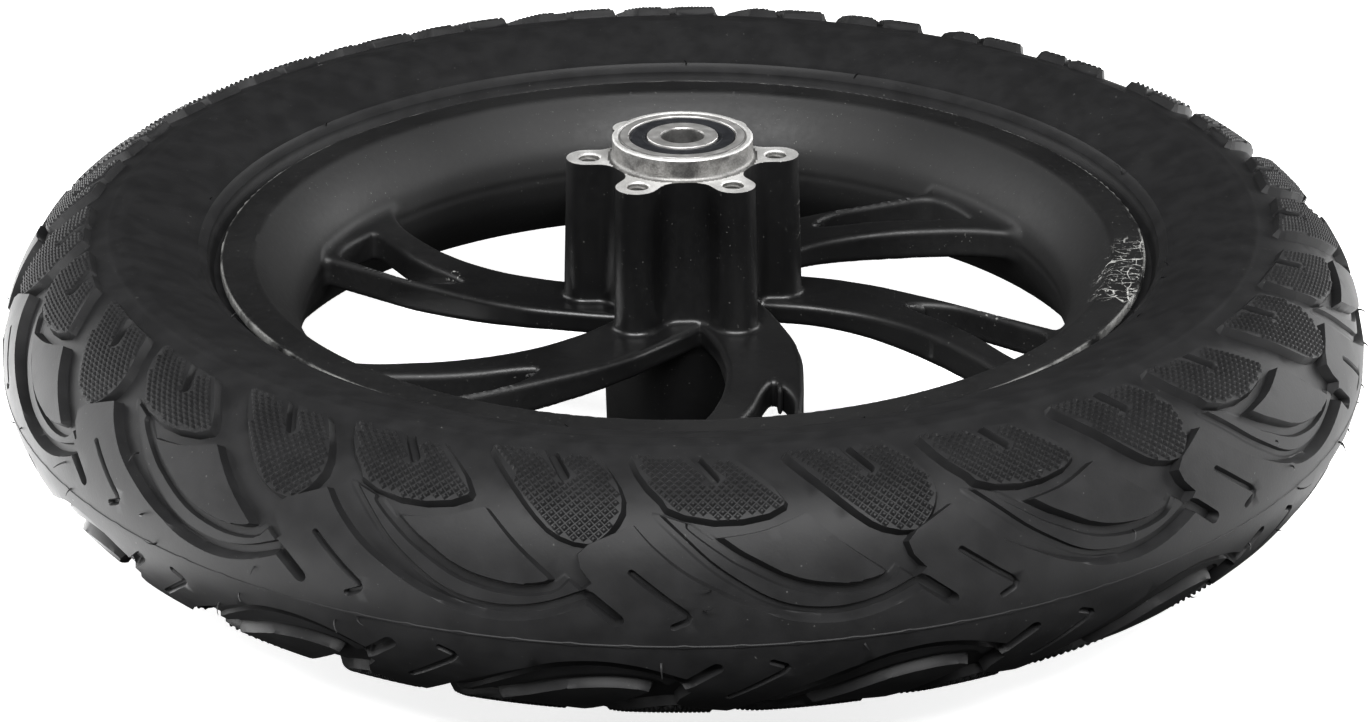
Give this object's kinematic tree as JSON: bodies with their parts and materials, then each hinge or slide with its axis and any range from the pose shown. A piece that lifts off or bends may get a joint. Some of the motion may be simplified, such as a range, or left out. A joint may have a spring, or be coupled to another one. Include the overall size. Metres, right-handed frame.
{
  "type": "scooter wheel with bearing hub",
  "caption": "Cast spoked scooter wheel with a knobbly tyre, an inner tube, sealed hub bearings and a brake-disc mount.",
  "frame": {"origin": "the wheel's centre: on its axis, half-way between the rim flanges", "axes": "+Z along the wheel's axis, out of the brake-disc side of the hub; X and Y across the wheel, which lies flat"},
  "size_m": [0.322, 0.322, 0.0878],
  "materials": {
    "painted_casting": "satin black paint on cast aluminium, bare on the machined disc mount",
    "tyre_rubber": "matte moulded rubber",
    "tube_rubber": "smooth butyl rubber",
    "seal_rubber": "matte nitrile rubber",
    "bearing_steel": "ground bearing steel",
    "cage_nylon": "moulded nylon",
    "brass": "turned brass",
    "cap_plastic": "moulded black plastic",
    "spacer_aluminium": "drawn tube"
  },
  "bodies": {
    "axle_core": {"bearing_spacer": "spacer_aluminium", "upper_bearing_inner_ring": "bearing_steel", "lower_bearing_inner_ring": "bearing_steel"},
    "wheel": {"wheel_casting": "painted_casting", "tyre": "tyre_rubber", "inner_tube": "tube_rubber", "rim_strip": "tube_rubber", "valve_stem": "tube_rubber", "valve_core": "brass", "upper_bearing_outer_ring": "bearing_steel", "upper_bearing_outboard_seal": "seal_rubber", "upper_bearing_inboard_seal": "seal_rubber", "lower_bearing_outer_ring": "bearing_steel", "lower_bearing_outboard_seal": "seal_rubber", "lower_bearing_inboard_seal": "seal_rubber"},
    "upper_ball_set": {"upper_bearing_ball_cage": "cage_nylon", "upper_bearing_ball_1": "bearing_steel", "upper_bearing_ball_2": "bearing_steel", "upper_bearing_ball_3": "bearing_steel", "upper_bearing_ball_4": "bearing_steel", "upper_bearing_ball_5": "bearing_steel", "upper_bearing_ball_6": "bearing_steel", "upper_bearing_ball_7": "bearing_steel", "upper_bearing_ball_8": "bearing_steel"},
    "lower_ball_set": {"lower_bearing_ball_cage": "cage_nylon", "lower_bearing_ball_1": "bearing_steel", "lower_bearing_ball_2": "bearing_steel", "lower_bearing_ball_3": "bearing_steel", "lower_bearing_ball_4": "bearing_steel", "lower_bearing_ball_5": "bearing_steel", "lower_bearing_ball_6": "bearing_steel", "lower_bearing_ball_7": "bearing_steel", "lower_bearing_ball_8": "bearing_steel"},
    "valve_pin": {"valve_pin": "brass"},
    "valve_cap": {"valve_cap": "cap_plastic"}
  },
  "joints": [
    {"name": "wheel_spin", "type": "hinge", "parent": "axle_core", "child": "wheel", "pos_m": [0, 0, 0], "axis": [0, 0, 1], "continuous": true},
    {"name": "upper_balls_turn", "type": "hinge", "parent": "axle_core", "child": "upper_ball_set", "pos_m": [0, 0, 0.03944], "axis": [0, 0, 1], "continuous": true},
    {"name": "lower_balls_turn", "type": "hinge", "parent": "axle_core", "child": "lower_ball_set", "pos_m": [0, 0, -0.03944], "axis": [0, 0, 1], "continuous": true},
    {"name": "valve_pin_press", "type": "slide", "parent": "wheel", "child": "valve_pin", "axis": [0.3733, -0.5233, 0.766], "range_m": [0, 0.0012], "stiffness_N_per_m": 300, "springref_m": -0.001},
    {"name": "valve_cap_off", "type": "slide", "parent": "wheel", "child": "valve_cap", "axis": [-0.3733, 0.5233, -0.766], "range_m": [0, 0.014]}
  ],
  "couplings": [
    {"joint": "upper_balls_turn", "follows": "wheel_spin", "ratio": 0.619},
    {"joint": "lower_balls_turn", "follows": "wheel_spin", "ratio": 0.619}
  ]
}
